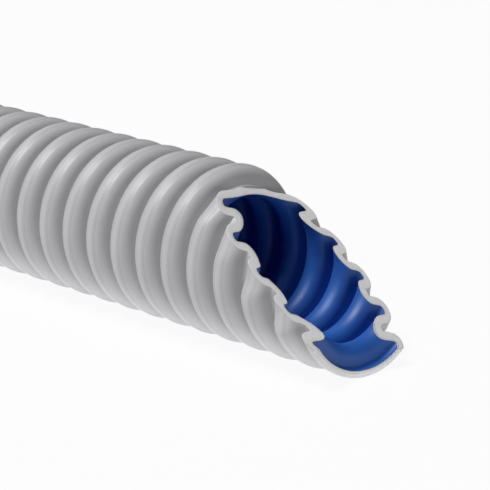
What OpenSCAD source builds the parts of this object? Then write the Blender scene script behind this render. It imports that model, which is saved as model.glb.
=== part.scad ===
// Corrugated plastic conduit: a straight 1 m length of ribbed tube, nominal size 16.
// The tube lies along X on its ribs, and the origin is on the floor under the middle of its length.
// Its square end is at the low end of X, and its other end is cut on a slant, which leaves a tongue
// at the bottom, turned a little towards -Y. Z is up, and the ribs touch the floor at z = 0.

/* [Tube] */
// Length of the piece
length = 1000; // [60:5:1200]
// Outside diameter over the ribs
outer_d = 16; // [14:0.1:25]
// Clear bore between the inner ridges
bore_d = 10.7; // [8:0.1:12]
// Distance from one rib to the next
pitch = 3.5; // [3.4:0.05:6]

/* [Wall] */
// Thickness of the grey wall in the grooves
wall_t = 0.7; // [0.4:0.05:1]
// Thickness of the grey wall at the crests, where blowing stretches it most
crest_t = 0.45; // [0.3:0.05:0.9]
// Thickness of the blue lining that is bonded inside the wall
lining_t = 0.15; // [0.05:0.01:0.4]

/* [Ribs] */
// Width of the narrow flat on top of each rib
crest_flat = 0.2; // [0.05:0.05:0.4]
// Outside radius of each rib's rounded shoulders
crest_r = 1.2; // [0.9:0.05:1.3]
// Width of the narrow flat in the floor of each groove
root_flat = 0.2; // [0.05:0.05:0.4]
// Outside radius at the foot of each groove
root_r = 0.25; // [0.05:0.05:0.35]

/* [Cut end] */
// Angle between the slanted cut and the tube's axis
cut_angle = 35.4; // [25:0.1:60]
// Turn of the slanted cut round the tube's axis, which brings the tongue from the bottom towards -Y
cut_turn = 12; // [-45:1:45]
// Height of the slanted cut over the nearest side of the bore, at the tongue's tip
tip_rise = 0; // [-0.5:0.05:3]
// Distance from the middle of the last rib to the tongue's square tip
tip_past_crest = 0.25; // [0:0.05:1.5]

/* [Hidden] */

outer_r = outer_d / 2;
bore_r = bore_d / 2;
shell_t = wall_t + lining_t;
// Radius of the groove's floor, outside
root_level = bore_r + shell_t;
// Steps in which a rounded shoulder or foot is turned
arc_steps = 2;
rib_count = ceil(length / pitch) + 1;
last_crest_x = length - tip_past_crest;

// Distance back from the tongue's tip to where the slanted cut crosses the axis
cut_back = (bore_r - tip_rise) / tan(cut_angle);
// The cut leaves the wall through a groove. This many ribs are opened before it, counted from the tip:
// it is the first groove at which the slanted plane no longer reaches the bore
cut_ribs = ceil(((2 * bore_r - tip_rise) / tan(cut_angle) - tip_past_crest) / pitch + 0.5);

// The tube's three surfaces, each as [depth, rise]. Depth is how far it is moved inwards from the outside.
// Rise is how far its shoulders are moved out again, which makes the grey wall thinner at the crests
outside = [0, 0];
bond = [wall_t, wall_t - crest_t];
bore = [shell_t, wall_t - crest_t];

// Middle of the foot's arc and of the shoulder's arc, from the rib's middle and from the axis
foot = [(pitch - root_flat) / 2, root_level + root_r];
function shoulder(surface) = [crest_flat / 2, outer_r - crest_r + surface[1]];

// The rib's straight side touches both arcs, and this is its slope, measured from the tube's axis
function flank_angle(surface) = let (span = foot - shoulder(surface))
    90 - atan2(span[1], span[0]) - acos((crest_r + root_r) / norm(span));

// One half of a rib on a surface, from its middle to the foot of its groove, as [x, radius]
function half_rib(surface) = let (depth = surface[0], turn = flank_angle(surface)) concat(
    [for (i = [0 : arc_steps]) let (a = turn * i / arc_steps)
        shoulder(surface) + (crest_r - depth) * [sin(a), cos(a)]],
    [for (i = [arc_steps : -1 : 0]) let (a = turn * i / arc_steps)
        foot - (root_r + depth) * [sin(a), cos(a)]]
);

// A whole rib, from the foot before it to the foot after it
function rib(surface, x) = let (half = half_rib(surface)) concat(
    [for (i = [len(half) - 1 : -1 : 0]) [x - half[i][0], half[i][1]]],
    [for (p = half) [x + p[0], p[1]]]
);

// All the ribs in one line, one more than the piece holds at each end, and that line trimmed to length
function ribs(surface) = [for (n = [rib_count : -1 : -1]) each rib(surface, last_crest_x - n * pitch)];
function trimmed(line) = concat(
    [[0, lookup(0, line)]],
    [for (p = line) if (p[0] > 0 && p[0] < length) p],
    [[length, lookup(length, line)]]
);
function reversed(line) = [for (i = [len(line) - 1 : -1 : 0]) line[i]];

// The ring of material between two surfaces, turned round the tube's axis
module corrugated_tube(outer, inner) {
    section = concat(trimmed(ribs(outer)), reversed(trimmed(ribs(inner))));
    translate([-length / 2, 0, outer_r])
        rotate([0, 90, 0])
            rotate_extrude($fn = 72)
                polygon([for (p = section) [p[1], p[0]]]);
}

// What the cut takes away: all that is above the slanted plane and past the groove behind the cut ribs
module slanted_offcut() {
    reach = 4 * outer_d / sin(cut_angle);
    last_groove_x = last_crest_x - (cut_ribs - 0.5) * pitch - length / 2;
    intersection() {
        translate([length / 2 - cut_back, 0, outer_r])
            rotate([-cut_turn, 0, 0])
                rotate([0, cut_angle, 0])
                    translate([-reach / 2, -outer_d, 0])
                        cube([reach, 2 * outer_d, reach]);
        translate([last_groove_x, -outer_d, -outer_d])
            cube([length / 2 - last_groove_x + outer_d, 2 * outer_d, 4 * outer_d]);
    }
}

module outer_wall() {
    color("lightgray")
        difference() {
            corrugated_tube(outside, bond);
            slanted_offcut();
        }
}

module inner_lining() {
    color("royalblue")
        difference() {
            corrugated_tube(bond, bore);
            slanted_offcut();
        }
}

outer_wall();
inner_lining();
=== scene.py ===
# %% [markdown]
# # A length of corrugated conduit
# The real thing is a thin plastic tube that is blown into a row of ring-shaped moulds while it is still
# soft. Two plastics are extruded together: a light grey wall, and a thin slippery blue lining inside it.
# This lesson models one rib, repeats it and gives it a wall. It then curls the ribs that the knife presses
# in, and cuts the end on a slant. The finishes, the table and the lamps come after that. The first cell
# loads the fixed frame.

# %% Load the frame
import math

import bmesh
import bpy
from mathutils import Matrix, Vector


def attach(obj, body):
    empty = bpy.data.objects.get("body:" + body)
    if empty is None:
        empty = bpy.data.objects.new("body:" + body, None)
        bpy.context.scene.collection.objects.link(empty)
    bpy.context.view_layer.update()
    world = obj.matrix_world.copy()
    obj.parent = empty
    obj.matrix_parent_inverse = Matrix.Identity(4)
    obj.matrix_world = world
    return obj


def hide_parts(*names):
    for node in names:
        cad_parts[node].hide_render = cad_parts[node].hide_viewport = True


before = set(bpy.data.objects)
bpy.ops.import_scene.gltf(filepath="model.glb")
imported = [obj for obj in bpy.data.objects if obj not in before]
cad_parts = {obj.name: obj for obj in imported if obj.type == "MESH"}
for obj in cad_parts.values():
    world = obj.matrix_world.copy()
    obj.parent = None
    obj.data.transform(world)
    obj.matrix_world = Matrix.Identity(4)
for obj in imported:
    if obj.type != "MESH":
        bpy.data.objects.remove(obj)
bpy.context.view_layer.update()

# %% [markdown]
# The sizes are the ones that the tube is made to, in metres. The shoulder of a rib and the foot of a groove
# are two arcs, and a straight side touches both. Its slope follows from where the middles of the arcs lie,
# so no angle has to be guessed. On the inside of the grey wall the shoulders rise a little, which thins the
# crests.

# %% Sizes of the tube
MM = 0.001
LENGTH = 1000 * MM
OUTER_R = 8 * MM
BORE_R = 5.35 * MM
PITCH = 3.5 * MM
WALL, CREST_WALL = 0.7 * MM, 0.45 * MM
LINING = 0.15 * MM
CREST_FLAT, CREST_R = 0.2 * MM, 1.2 * MM
ROOT_FLAT, ROOT_R = 0.2 * MM, 0.25 * MM
CUT_ANGLE, CUT_TURN = math.radians(35.4), math.radians(12)
TIP_PAST_CREST = 0.25 * MM

RISE = WALL - CREST_WALL
ROOT_LEVEL = BORE_R + WALL + LINING
CUT_BACK = BORE_R / math.tan(CUT_ANGLE)
TIP_X = LENGTH / 2


def side_angle(rise):
    """The slope of a rib's straight side, measured from the tube's axis, on a skin with this rise."""
    across = (PITCH - ROOT_FLAT) / 2 - CREST_FLAT / 2
    down = ROOT_LEVEL + ROOT_R - (OUTER_R - CREST_R + rise)
    between_arcs = math.acos((CREST_R + ROOT_R) / math.hypot(across, down))
    return math.pi / 2 - math.atan2(down, across) - between_arcs


def groove(n):
    """The middle of the n-th groove, counted back from the tip, where two ribs meet."""
    return TIP_X - TIP_PAST_CREST + PITCH / 2 - n * PITCH


CUT_RIBS = math.ceil((2 * BORE_R / math.tan(CUT_ANGLE) - TIP_PAST_CREST) / PITCH + 0.5)
RIBS = math.ceil((groove(0) + TIP_X) / PITCH)
print("side angle", round(math.degrees(side_angle(0)), 2), "cut ribs", CUT_RIBS, "ribs", RIBS)

# %% [markdown]
# The camera is set before anything is modelled, so that each piece can be judged from where the photograph
# was taken. It stands about 21 cm from the cut end, to the side of it and a little above, with a long lens,
# which keeps the ribs nearly the same size from one to the next. Two angles and a distance give its place.
# One function turns the angles into a direction, for the camera here and for the lamps at the end.

# %% Camera
AZIMUTH, ELEVATION = math.radians(46.77), math.radians(15.13)
CAMERA_DISTANCE, LENS_IN_MM = 0.2093, 168.5
look_at = Vector((0.48431, 0, 0.00879))


def direction(azimuth, elevation):
    """The way from what is looked at to a camera or lamp. An azimuth of zero is straight in front of it."""
    over_floor = math.cos(elevation)
    return Vector((math.sin(azimuth) * over_floor, -math.cos(azimuth) * over_floor, math.sin(elevation)))


bpy.ops.object.camera_add(location=look_at + direction(AZIMUTH, ELEVATION) * CAMERA_DISTANCE,
                          rotation=(math.pi / 2 - ELEVATION, 0, AZIMUTH))
camera = bpy.context.object
camera.name = "camera"
camera.data.lens = LENS_IN_MM
camera.data.clip_start, camera.data.clip_end = 0.01, 30
bpy.context.scene.camera = camera
print("camera at", [round(v, 4) for v in camera.location])

# %% [markdown]
# An operator acts on all that is selected, and the frame is still selected after it is loaded, so every
# step starts afresh. The edges that matter here run round the tube like hoops. By hand each hoop would be
# picked with a click, and in code it is picked by its place along the tube and its radius. Two places that
# are less than a thousandth of a millimetre apart count as the same.

# %% Select pieces and rings
CLOSE = 0.001 * MM


def select_nothing():
    if bpy.context.mode != "OBJECT":
        bpy.ops.object.mode_set(mode="OBJECT")
    bpy.ops.object.select_all(action="DESELECT")


def select_only(*pieces):
    """Selects these pieces and nothing else, and makes the first one active."""
    select_nothing()
    for piece in pieces:
        piece.select_set(True)
    bpy.context.view_layer.objects.active = pieces[0]


def select_rings(piece, rings):
    """Selects the edges of an open piece that run round the axis at a place and radius."""
    bpy.ops.mesh.select_mode(type="EDGE")
    bpy.ops.mesh.select_all(action="DESELECT")
    bpy.ops.object.mode_set(mode="OBJECT")
    spots = piece.data.vertices
    on = [{v.index for v in spots if abs(v.co.x - x) < CLOSE
           and abs(math.hypot(v.co.y, v.co.z - OUTER_R) - r) < 2 * CLOSE} for x, r in rings]
    for edge in piece.data.edges:
        edge.select = any(set(edge.vertices) <= ring for ring in on)
    bpy.ops.object.mode_set(mode="EDIT")


select_nothing()
print("pieces selected:", len(bpy.context.selected_objects))

# %% [markdown]
# One rib is a circle that is drawn out along the tube in five steps: half a groove, the side, the crest,
# the other side and half a groove. Each step is an extrusion, and a change of radius is a resize about the
# axis. The corners are then bevelled. A bevel with a round profile, whose width is the radius times the
# tangent of half the turn, gives exactly the arc that a mould of that radius gives.

# %% Draw out one rib
def one_rib(name, depth, rise, steps, start):
    """A rib's skin, from start to the next groove. Depth moves it inwards, and rise lifts its crest again.

    The steps are those round the tube, round each shoulder and round each foot.
    """
    around, shoulder_steps, foot_steps = steps
    shoulder_r, foot_r = CREST_R - depth, ROOT_R + depth
    high, low = OUTER_R - depth + rise, ROOT_LEVEL - depth
    tangent = math.tan(side_angle(rise) / 2)
    crest = CREST_FLAT / 2 + shoulder_r * tangent
    side = (high - low) / math.tan(side_angle(rise))
    base = PITCH / 2 - crest - side
    select_nothing()
    bpy.ops.mesh.primitive_circle_add(vertices=around, radius=low, fill_type="NOTHING",
                                      location=(start, 0, OUTER_R), rotation=(0, math.pi / 2, 0))
    piece = bpy.context.object
    piece.name = piece.data.name = name
    bpy.ops.object.transform_apply(location=True, rotation=True, scale=True)
    bpy.ops.object.mode_set(mode="EDIT")
    bpy.ops.mesh.select_all(action="SELECT")
    x, radius = start, low
    for step, new_radius in ((base, low), (side, high), (2 * crest, high), (side, low), (base, low)):
        bpy.ops.mesh.extrude_region_move(TRANSFORM_OT_translate={"value": (step, 0, 0)})
        x += step
        if new_radius != radius:
            grow = new_radius / radius
            bpy.ops.transform.resize(value=(1, grow, grow), center_override=(x, 0, OUTER_R))
            radius = new_radius
    middle = start + PITCH / 2
    for half, radius, arc_r, arc_steps in ((crest, high, shoulder_r, shoulder_steps),
                                           (crest + side, low, foot_r, foot_steps)):
        select_rings(piece, ((middle - half, radius), (middle + half, radius)))
        bpy.ops.mesh.bevel(offset=arc_r * tangent, offset_type="OFFSET", segments=arc_steps, profile=0.5,
                           affect="EDGES")
    bpy.ops.mesh.select_all(action="SELECT")
    bpy.ops.mesh.normals_make_consistent(inside=False)
    bpy.ops.object.mode_set(mode="OBJECT")
    return piece


# %% [markdown]
# The tube is one rib after another. Drawing every rib would work, but a mould is the same all along, so an
# Array repeats the first one and joins the copies where the grooves meet.

# %% Repeat the rib
def apply_modifier(piece, kind, **settings):
    select_only(piece)
    modifier = piece.modifiers.new(kind.lower(), kind)
    for name, value in settings.items():
        setattr(modifier, name, value)
    bpy.ops.object.modifier_apply(modifier=modifier.name)


def skin(name, depth, rise, nearest, farthest, steps):
    """The surface of the ribs between two grooves, both counted back from the tip."""
    piece = one_rib(name, depth, rise, steps, groove(farthest))
    apply_modifier(piece, "ARRAY", count=farthest - nearest, use_relative_offset=False,
                   use_constant_offset=True, constant_offset_displace=(PITCH, 0, 0),
                   use_merge_vertices=True, merge_threshold=CLOSE)
    return piece


# %% [markdown]
# Blowing stretches the plastic most at the crests, so the wall is thinner there than in the grooves. That
# is why it is made from two skins, one inside the other, and not by a Solidify, which gives one thickness
# all over. The inner skin is turned to face the axis before their open ends are bridged, because a bridge
# joins points by the way the faces run, and would cross itself otherwise. A volume above zero shows that
# the wall faces outwards.

# %% Give the ribs a wall
def volume_of(piece):
    """The plastic in a piece, in cubic millimetres, which is below zero where the faces point inwards."""
    shell = bmesh.new()
    shell.from_mesh(piece.data)
    volume = shell.calc_volume(signed=True) / MM ** 3
    shell.free()
    return round(volume, 1)


def length_of_tube(name, outside, inside, nearest, farthest, steps):
    """The wall between two skins, each given as its depth and its rise at the crest."""
    piece = skin(name, *outside, nearest, farthest, steps)
    inner_skin = skin("inner_skin", *inside, nearest, farthest, steps)
    select_only(inner_skin)
    bpy.ops.object.mode_set(mode="EDIT")
    bpy.ops.mesh.select_all(action="SELECT")
    bpy.ops.mesh.flip_normals()
    select_only(piece, inner_skin)
    bpy.ops.object.join()
    bpy.ops.object.mode_set(mode="EDIT")
    for end in (groove(farthest), groove(nearest)):
        select_rings(piece, ((end, ROOT_LEVEL - outside[0]), (end, ROOT_LEVEL - inside[0])))
        bpy.ops.mesh.bridge_edge_loops()
    bpy.ops.object.mode_set(mode="OBJECT")
    print(name, "has", farthest - nearest, "ribs and", volume_of(piece), "mm3 of plastic")
    return piece


# %% [markdown]
# The grey wall comes first. Its pieces meet in the middle of a groove, where the wall is level, so the
# light runs over the join without a step. The eye is close to the cut end, which gets the most faces. The
# long middle of the tube is only seen from far away and gets the fewest, and it is shared out over several
# pieces, so that none of them grows too large.

# %% The grey wall
CUT_END, SQUARE_END = 16, RIBS - 6
FINE_STEPS, END_STEPS, RUN_STEPS = (96, 6, 4), (64, 4, 2), (32, 2, 1)
grey_skins = ((0, 0), (WALL, RISE))


def run_of_tube(name, skins, nearest, farthest, pieces, steps):
    """A long stretch between two grooves, as several pieces of nearly the same length."""
    stops = [nearest + round(i * (farthest - nearest) / pieces) for i in range(pieces + 1)]
    return [length_of_tube(f"{name}_{i + 1}", *skins, stops[i], stops[i + 1], steps) for i in range(pieces)]


wall_cut_end = length_of_tube("outer_wall_cut_end", *grey_skins, 0, CUT_END, FINE_STEPS)
wall_square_end = length_of_tube("outer_wall_square_end", *grey_skins, SQUARE_END, RIBS, END_STEPS)
wall_run = run_of_tube("outer_wall_run", grey_skins, CUT_END, SQUARE_END, 3, RUN_STEPS)
wall = [wall_cut_end, *wall_run, wall_square_end]

# %% [markdown]
# The lining is made the same way, with the grey wall's inner skin as its outer one, so the two share one
# surface. Inside the tube its ridges are the backs of the grooves. It is hidden but for its ends, so the
# stretch with many faces is shorter than the wall's.

# %% The blue lining
LINING_CUT_END = 12
LINING_RUN_STEPS = (24, 1, 1)
blue_skins = ((WALL, RISE), (WALL + LINING, RISE))
lining_cut_end = length_of_tube("inner_lining_cut_end", *blue_skins, 0, LINING_CUT_END, FINE_STEPS)
lining_square_end = length_of_tube("inner_lining_square_end", *blue_skins, SQUARE_END, RIBS, END_STEPS)
lining_run = run_of_tube("inner_lining_run", blue_skins, LINING_CUT_END, SQUARE_END, 2, LINING_RUN_STEPS)
lining = [lining_cut_end, *lining_run, lining_square_end]

# %% [markdown]
# A knife presses a soft rib in before it goes through it, so the opened ribs curl towards the axis at their
# free edges. Proportional editing shapes them as a thumb would: it takes the wall and the lining together
# where the cut will meet a crest, moves them inwards, and the move fades out around that place. How far
# each one goes is read off the photograph, by the corners of the rim. The amounts run from the tip
# backwards, in millimetres.

# %% Curl the ribs that the knife opens
NEAR_SIDE = (0.0, 0.9, 0.95, 0.4, 0.4)
FAR_SIDE = (0.1, 0.25, 0.5, 0.55, 0.4)
CURL_REACH, GRIP = 2.3 * MM, 0.6 * MM
on_axis = Vector((TIP_X - CUT_BACK, 0, OUTER_R))
round_axis = Matrix.Rotation(-CUT_TURN, 3, "X")


def crest_on_the_cut(rib, side):
    """Where the slanted cut meets a rib's crest, and the direction from there to the axis."""
    along = groove(rib) - PITCH / 2
    radius = OUTER_R - (CREST_WALL + LINING) / 2
    height = (on_axis.x - along) * math.tan(CUT_ANGLE)
    outwards = round_axis @ Vector((0, side * math.sqrt(radius ** 2 - height ** 2), height))
    return Vector((along, 0, OUTER_R)) + outwards, -outwards.normalized()


bpy.context.tool_settings.mesh_select_mode = (True, False, False)
for side, amounts in ((-1, NEAR_SIDE), (1, FAR_SIDE)):
    for rib, amount in enumerate(amounts):
        spot, inwards = crest_on_the_cut(rib, side)
        select_only(wall_cut_end, lining_cut_end)
        for piece in (wall_cut_end, lining_cut_end):
            for vertex in piece.data.vertices:
                vertex.select = (vertex.co - spot).length < GRIP
        bpy.ops.object.mode_set(mode="EDIT")
        bpy.ops.transform.translate(value=inwards * amount * MM, use_proportional_edit=True,
                                    proportional_edit_falloff="SMOOTH", proportional_size=CURL_REACH)
        bpy.ops.mesh.select_all(action="DESELECT")
        bpy.ops.object.mode_set(mode="OBJECT")
print("mm3 of wall and of lining after the curl:", volume_of(wall_cut_end), volume_of(lining_cut_end))

# %% [markdown]
# Both ends are cut with a knife. A block of air stands for what the knife takes away. The slanted block is
# turned by the angle of the cut, then a little round the tube's axis, because the knife wasn't held level.
# Its back is trimmed at the groove through which the knife leaves the tube.

# %% Shape the knives
KNIFE_REACH = 60 * MM


def block(name, size, place, turn=0.0):
    select_nothing()
    bpy.ops.mesh.primitive_cube_add(size=1, location=place, rotation=(0, turn, 0), scale=size)
    made = bpy.context.object
    made.name = name
    bpy.ops.object.transform_apply(location=True, rotation=True, scale=True)
    return made


cube = (KNIFE_REACH, KNIFE_REACH, KNIFE_REACH)
level = Vector((math.sin(CUT_ANGLE), 0, math.cos(CUT_ANGLE)))
normal = round_axis @ level
past_tip = block("past_tip", cube, (TIP_X + KNIFE_REACH / 2, 0, OUTER_R))
past_square = block("past_square", cube, (-LENGTH / 2 - KNIFE_REACH / 2, 0, OUTER_R))
slanted = block("slanted", (2 * KNIFE_REACH, KNIFE_REACH, KNIFE_REACH),
                on_axis + level * KNIFE_REACH / 2, CUT_ANGLE)
bpy.ops.object.mode_set(mode="EDIT")
bpy.ops.mesh.select_all(action="SELECT")
bpy.ops.transform.rotate(value=CUT_TURN, orient_axis="X", center_override=on_axis)
bpy.ops.mesh.bisect(plane_co=(groove(CUT_RIBS), 0, 0), plane_no=(1, 0, 0), use_fill=True, clear_inner=True)
bpy.ops.mesh.select_all(action="SELECT")
bpy.ops.mesh.normals_make_consistent(inside=False)
bpy.ops.object.mode_set(mode="OBJECT")
on_plane = [v for v in slanted.data.vertices if abs((v.co - on_axis).dot(normal)) < CLOSE]
print("corners of the block that lie in the cut's plane:", len(on_plane))

# %% [markdown]
# A plain bisect could cut the mesh too, but it leaves a hollow wall open. A Boolean subtracts the block and
# closes the rim in the same step. Only the four end pieces meet a knife, and the blocks are thrown away
# afterwards.

# %% Cut both ends
def cut(piece, *knives):
    for knife in knives:
        apply_modifier(piece, "BOOLEAN", operation="DIFFERENCE", solver="EXACT", object=knife)
    print(piece.name, "is cut and has", len(piece.data.polygons), "faces")


cut(wall_cut_end, past_tip, slanted)
cut(lining_cut_end, past_tip, slanted)
cut(wall_square_end, past_square)
cut(lining_square_end, past_square)
for knife in (past_tip, past_square, slanted):
    bpy.data.objects.remove(knife, do_unlink=True)

# %% [markdown]
# The ribs are round, so they are shaded smooth, and only the rims of the cuts stay sharp. The limit is
# wider where the arcs have fewer steps.

# %% Shade the pieces
FINE_LIMIT, COARSE_LIMIT = math.radians(24), math.radians(50)
for piece in wall + lining:
    select_only(piece)
    fine = piece in (wall_cut_end, lining_cut_end)
    bpy.ops.object.shade_smooth_by_angle(angle=FINE_LIMIT if fine else COARSE_LIMIT)
    print(piece.name, "has", sum(edge.use_edge_sharp for edge in piece.data.edges), "sharp edges")

# %% [markdown]
# Materials come next. A colour is written as it looks on a screen, in sRGB hex, and one function turns it
# into the linear light that the shader needs. Another function adds a node with its settings and links.

# %% Colour and node helpers
def linear(hex_colour):
    parts = [int(hex_colour[i:i + 2], 16) / 255 for i in (1, 3, 5)]
    return (*[p / 12.92 if p <= 0.04045 else ((p + 0.055) / 1.055) ** 2.4 for p in parts], 1)


def add(tree, kind, inputs=None, **settings):
    made = tree.nodes.new(kind)
    for name, value in settings.items():
        setattr(made, name, value)
    for socket, value in (inputs or {}).items():
        if isinstance(value, bpy.types.NodeSocket):
            tree.links.new(value, made.inputs[socket])
        else:
            made.inputs[socket].default_value = value
    return made


def new_material(name):
    material = bpy.data.materials.new(name)
    material.use_nodes = True
    return material, material.node_tree, material.node_tree.nodes["Principled BSDF"]


WHITE = linear("#FFFFFF")
print("white in linear light", WHITE, "and middle grey", round(linear("#808080")[0], 3))

# %% [markdown]
# The tool that turned the mould left fine rings in it, and each shoulder carries a pair of them about 0.4
# mm from the crest. Cut into the mesh they would cost many faces, so they are drawn. They follow the ribs,
# so their place comes from the distance to the nearest crest along the tube. They are drawn about twice as
# wide as the real ones so that they show.

# %% Mould lines
LINE_PLACES, LINE_HALF_WIDTH = (0.36 * MM, 0.52 * MM), 0.06 * MM
grey, tree, shader = new_material("moulded_grey_polypropylene")
place = add(tree, "ShaderNodeTexCoord").outputs["Object"]
along = add(tree, "ShaderNodeSeparateXYZ", {0: place}).outputs["X"]
from_crest = add(tree, "ShaderNodeMath", {0: along, 1: TIP_X - TIP_PAST_CREST}, operation="SUBTRACT")
to_crest = add(tree, "ShaderNodeMath", {0: from_crest.outputs[0], 1: PITCH / 2}, operation="PINGPONG")
share = add(tree, "ShaderNodeMath", {0: to_crest.outputs[0], 1: PITCH / 2}, operation="DIVIDE")
lines = add(tree, "ShaderNodeValToRGB", {"Fac": share.outputs[0]})
ramp = lines.color_ramp
ramp.elements[0].color = ramp.elements[1].color = WHITE
for middle_of_line in LINE_PLACES:
    for step, height in ((-LINE_HALF_WIDTH, 1), (0, 0), (LINE_HALF_WIDTH, 1)):
        ramp.elements.new((middle_of_line + step) / (PITCH / 2)).color = (height, height, height, 1)
print("places on the ramp:", [round(stop.position, 3) for stop in ramp.elements])

# %% [markdown]
# The wall is blow-moulded polypropylene: satin, slightly soft to the eye, with an IOR of about 1.49. The
# lines are painted a little darker than the skin, as painted shade for the light that is partly lost in so
# narrow a groove. A grain of about 0.25 mm, which is coarser than the real one too, breaks up the gloss. A
# knife leaves no sharp edge on so soft a plastic, and a Bevel node rounds the light over the rims of the
# cut.

# %% Moulded grey polypropylene
POLYPROPYLENE_IOR = 1.49
GRAIN, CLOUDS, RIM_ROUNDING = 0.25 * MM, 9 * MM, 0.12 * MM
grain = add(tree, "ShaderNodeTexNoise", {"Vector": place, "Scale": 1 / GRAIN, "Detail": 3.0})
clouds = add(tree, "ShaderNodeTexNoise", {"Vector": place, "Scale": 1 / CLOUDS, "Detail": 2.0})
tint = add(tree, "ShaderNodeMix", {"Factor": clouds.outputs["Fac"], "A": linear("#BFBFC1"),
                                   "B": linear("#C7C7C9")}, data_type="RGBA")
# painted shade: the base colour is darkened to 0.8 inside the mould lines, for the light lost in the grooves
painted_line_shade = add(tree, "ShaderNodeMapRange", {"Value": lines.outputs["Color"], "To Min": 0.8, "To Max": 1.0})
lined = add(tree, "ShaderNodeVectorMath", {0: tint.outputs["Result"], 1: painted_line_shade.outputs[0]},
            operation="MULTIPLY")
tree.links.new(lined.outputs[0], shader.inputs["Base Color"])
matt = add(tree, "ShaderNodeMapRange", {"Value": grain.outputs["Fac"], "To Min": 0.28, "To Max": 0.38})
tree.links.new(matt.outputs[0], shader.inputs["Roughness"])
rounded = add(tree, "ShaderNodeBevel", {"Radius": RIM_ROUNDING}, samples=6)
rings = add(tree, "ShaderNodeBump", {"Height": lines.outputs["Color"], "Normal": rounded.outputs[0],
                                     "Strength": 0.5, "Distance": 0.03 * MM})
rough = add(tree, "ShaderNodeBump", {"Height": grain.outputs["Fac"], "Normal": rings.outputs[0],
                                     "Strength": 0.25, "Distance": 0.006 * MM})
tree.links.new(rough.outputs[0], shader.inputs["Normal"])
shader.inputs["IOR"].default_value = POLYPROPYLENE_IOR
print(grey.name, "has", len(tree.nodes), "nodes")

# %% [markdown]
# A knife drags a soft plastic as it goes, so the cut face is duller than the moulded skin, with faint
# marks across the wall. It is also painted a good deal paler than the skin, as a painted highlight for the
# light along the rims. The thin lining is stretched over the edge there, and its cut shows as a pale, warm
# line. One function makes both finishes.

# %% Knife-cut plastics
DRAG_MARKS = 0.5 * MM


def knife_cut(name, darker, paler):
    material, tree, shader = new_material(name)
    place = add(tree, "ShaderNodeTexCoord").outputs["Object"]
    drag = add(tree, "ShaderNodeTexNoise", {"Vector": place, "Scale": 1 / DRAG_MARKS, "Detail": 3.0})
    tint = add(tree, "ShaderNodeMix", {"Factor": drag.outputs["Fac"], "A": linear(darker),
                                       "B": linear(paler)}, data_type="RGBA")
    tree.links.new(tint.outputs["Result"], shader.inputs["Base Color"])
    rounded = add(tree, "ShaderNodeBevel", {"Radius": RIM_ROUNDING}, samples=6)
    marks = add(tree, "ShaderNodeBump", {"Height": drag.outputs["Fac"], "Normal": rounded.outputs[0],
                                         "Strength": 0.6, "Distance": 0.06 * MM})
    tree.links.new(marks.outputs[0], shader.inputs["Normal"])
    shader.inputs["Roughness"].default_value = 0.4
    shader.inputs["IOR"].default_value = POLYPROPYLENE_IOR
    print(name, "has", len(tree.nodes), "nodes")
    return material


# painted highlight: the grey cut faces are painted nearly white, far paler than the moulded skin
cut_grey = knife_cut("knife_cut_grey_polypropylene", "#E0E0E1", "#F6F6F6")
cut_edge = knife_cut("knife_cut_polyolefin_edge", "#DCD8CE", "#EEEBE3")

# %% [markdown]
# The lining is a coloured polyolefin with a slip additive. It has never touched the mould, so it is smooth,
# with soft flow marks a few millimetres long. The additive sits on it as a film that scatters light, so
# what it mirrors is wide and pale. The wall is thin enough for a little light to soak through, and that
# keeps the bore an even navy deep inside, where no lamp reaches. A very weak glow of that colour stands for
# it.

# %% Extruded blue lining
FLOW_MARKS = 2.2 * MM
SOAKED_LIGHT = 0.009
blue, tree, shader = new_material("extruded_blue_polyolefin")
place = add(tree, "ShaderNodeTexCoord").outputs["Object"]
flow = add(tree, "ShaderNodeTexNoise", {"Vector": place, "Scale": 1 / FLOW_MARKS, "Detail": 3.0})
tint = add(tree, "ShaderNodeMix", {"Factor": flow.outputs["Fac"], "A": linear("#1B4D9C"),
                                   "B": linear("#2962B4")}, data_type="RGBA")
tree.links.new(tint.outputs["Result"], shader.inputs["Base Color"])
sheen = add(tree, "ShaderNodeMapRange", {"Value": flow.outputs["Fac"], "To Min": 0.4, "To Max": 0.56})
tree.links.new(sheen.outputs[0], shader.inputs["Roughness"])
waves = add(tree, "ShaderNodeBump", {"Height": flow.outputs["Fac"], "Strength": 0.35, "Distance": 0.03 * MM})
tree.links.new(waves.outputs[0], shader.inputs["Normal"])
shader.inputs["IOR"].default_value = 1.5
shader.inputs["Emission Color"].default_value = linear("#144BFF")
shader.inputs["Emission Strength"].default_value = SOAKED_LIGHT
print(blue.name, "has", len(tree.nodes), "nodes")

# %% [markdown]
# Each piece takes its material, and the faces that the knife made take the cut finish. They are found by
# the plane that they lie in and by the way they face, which may be out by about two and a half degrees.

# %% Give the pieces their materials
SQUARE_ON = 0.999
for pieces, moulded, knifed in ((wall, grey, cut_grey), (lining, blue, cut_edge)):
    for piece in pieces:
        piece.data.materials.clear()
        piece.data.materials.append(moulded)
        piece.data.materials.append(knifed)
for piece in (wall_cut_end, wall_square_end, lining_cut_end, lining_square_end):
    found = 0
    for face in piece.data.polygons:
        spot = face.center
        slant = abs((spot - on_axis).dot(normal)) < 2 * CLOSE and face.normal.dot(normal) > SQUARE_ON
        flat = abs(abs(spot.x) - LENGTH / 2) < 2 * CLOSE and abs(face.normal.x) > SQUARE_ON
        face.material_index = int(slant or flat)
        found += slant or flat
    print(piece.name, "has", found, "cut faces")

# %% [markdown]
# Every piece rides on the one body and stands for the frame's node that it replaces, which is hidden.

# %% Tie the pieces to the frame
for pieces, node, slot in ((wall, "outer_wall", "grey_wall"), (lining, "inner_lining", "blue_lining")):
    for piece in pieces:
        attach(piece, "root")
        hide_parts(node)
    print(len(pieces), "pieces stand for", node)

# %% [markdown]
# The tube lies on a plain pale table. A strip of the table under it glows, as a narrow light table does,
# which lights the undersides of the ribs but hardly their sides. The camera doesn't see that glow. What it
# sees is nearly white whatever falls on it, and a small part of it is the real light, which keeps the
# tube's shadow.

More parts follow.
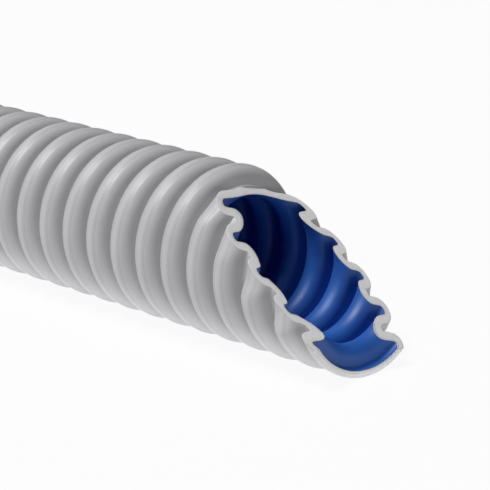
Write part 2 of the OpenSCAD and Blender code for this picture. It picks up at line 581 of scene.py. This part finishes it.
# %% The table
TABLE_SIZE = 8
STRIP_GLOW, STRIP_REACH, SEEN_WHITE = 0.8, 20 * MM, 0.92
select_nothing()
bpy.ops.mesh.primitive_plane_add(size=TABLE_SIZE, location=(0, 0, 0))
floor = bpy.context.object
floor.name = "floor"
table, tree, shader = new_material("white_table")
shader.inputs["Base Color"].default_value = linear("#E4E4E4")
shader.inputs["Roughness"].default_value = 0.8
shader.inputs["Emission Color"].default_value = WHITE
place = add(tree, "ShaderNodeTexCoord").outputs["Object"]
across = add(tree, "ShaderNodeSeparateXYZ", {0: place}).outputs["Y"]
aside = add(tree, "ShaderNodeMath", {0: across}, operation="ABSOLUTE")
strip = add(tree, "ShaderNodeMapRange", {"Value": aside.outputs[0], "From Max": STRIP_REACH,
                                         "To Min": STRIP_GLOW, "To Max": 0.0})
ray = add(tree, "ShaderNodeLightPath")
seen = add(tree, "ShaderNodeMath", {0: ray.outputs["Is Camera Ray"], 1: ray.outputs["Is Glossy Ray"]},
           operation="MAXIMUM")
unseen = add(tree, "ShaderNodeMapRange", {"Value": seen.outputs[0], "To Min": strip.outputs[0],
                                          "To Max": 0.0})
tree.links.new(unseen.outputs[0], shader.inputs["Emission Strength"])
whitened = add(tree, "ShaderNodeMath", {0: seen.outputs[0], 1: SEEN_WHITE}, operation="MULTIPLY")
plain_white = add(tree, "ShaderNodeEmission", {"Color": WHITE, "Strength": 1.0})
mixed = add(tree, "ShaderNodeMixShader", {0: whitened.outputs[0], 1: shader.outputs[0],
                                          2: plain_white.outputs[0]})
tree.links.new(mixed.outputs[0], tree.nodes["Material Output"].inputs["Surface"])
floor.data.materials.append(table)
print("the glow reaches", round(STRIP_REACH / MM), "mm to each side")

# %% [markdown]
# Behind the table is the world, which is plain white to the camera. It lights the tube only weakly, because
# light from all round would flatten the ribs.

# %% The backdrop
ROOM_LIGHT = 0.02
world = bpy.data.worlds.new("studio")
bpy.context.scene.world = world
world.use_nodes = True
tree = world.node_tree
ray = add(tree, "ShaderNodeLightPath")
seen = add(tree, "ShaderNodeMath", {0: ray.outputs["Is Camera Ray"], 1: ray.outputs["Is Transmission Ray"]},
           operation="MAXIMUM")
room = add(tree, "ShaderNodeBackground", {"Color": WHITE, "Strength": ROOM_LIGHT})
white = add(tree, "ShaderNodeBackground", {"Color": WHITE, "Strength": 1.0})
mixed = add(tree, "ShaderNodeMixShader", {0: seen.outputs[0], 1: room.outputs[0], 2: white.outputs[0]})
tree.links.new(mixed.outputs[0], tree.nodes["World Output"].inputs["Surface"])
print(world.name, "lights the tube with", ROOM_LIGHT)

# %% [markdown]
# One large soft lamp hangs high in front of the tube and to the left of the camera. It lights the crests
# and reaches into the bore, and the sides that face right stay in shade, which is what brings the ribs out.
# A weak lamp on the right keeps those sides from going black. Each lamp is placed by two angles, as the
# camera is.

# %% Lights
LAMP_DISTANCE, LAMP_SIZE = 1.4, 0.7


def soft_lamp(name, azimuth, elevation, power):
    turn, tilt = math.radians(azimuth), math.radians(elevation)
    bpy.ops.object.light_add(type="AREA", location=look_at + direction(turn, tilt) * LAMP_DISTANCE,
                             rotation=(math.pi / 2 - tilt, 0, turn))
    lamp = bpy.context.object
    lamp.name = name
    lamp.data.size, lamp.data.energy = LAMP_SIZE, power
    print(name, "lamp at", [round(v, 2) for v in lamp.location], "with", power, "W")


soft_lamp("key", -27, 64, 21.3)
soft_lamp("side", 90, 12, 0.8)
bpy.context.scene.view_settings.view_transform = "Standard"
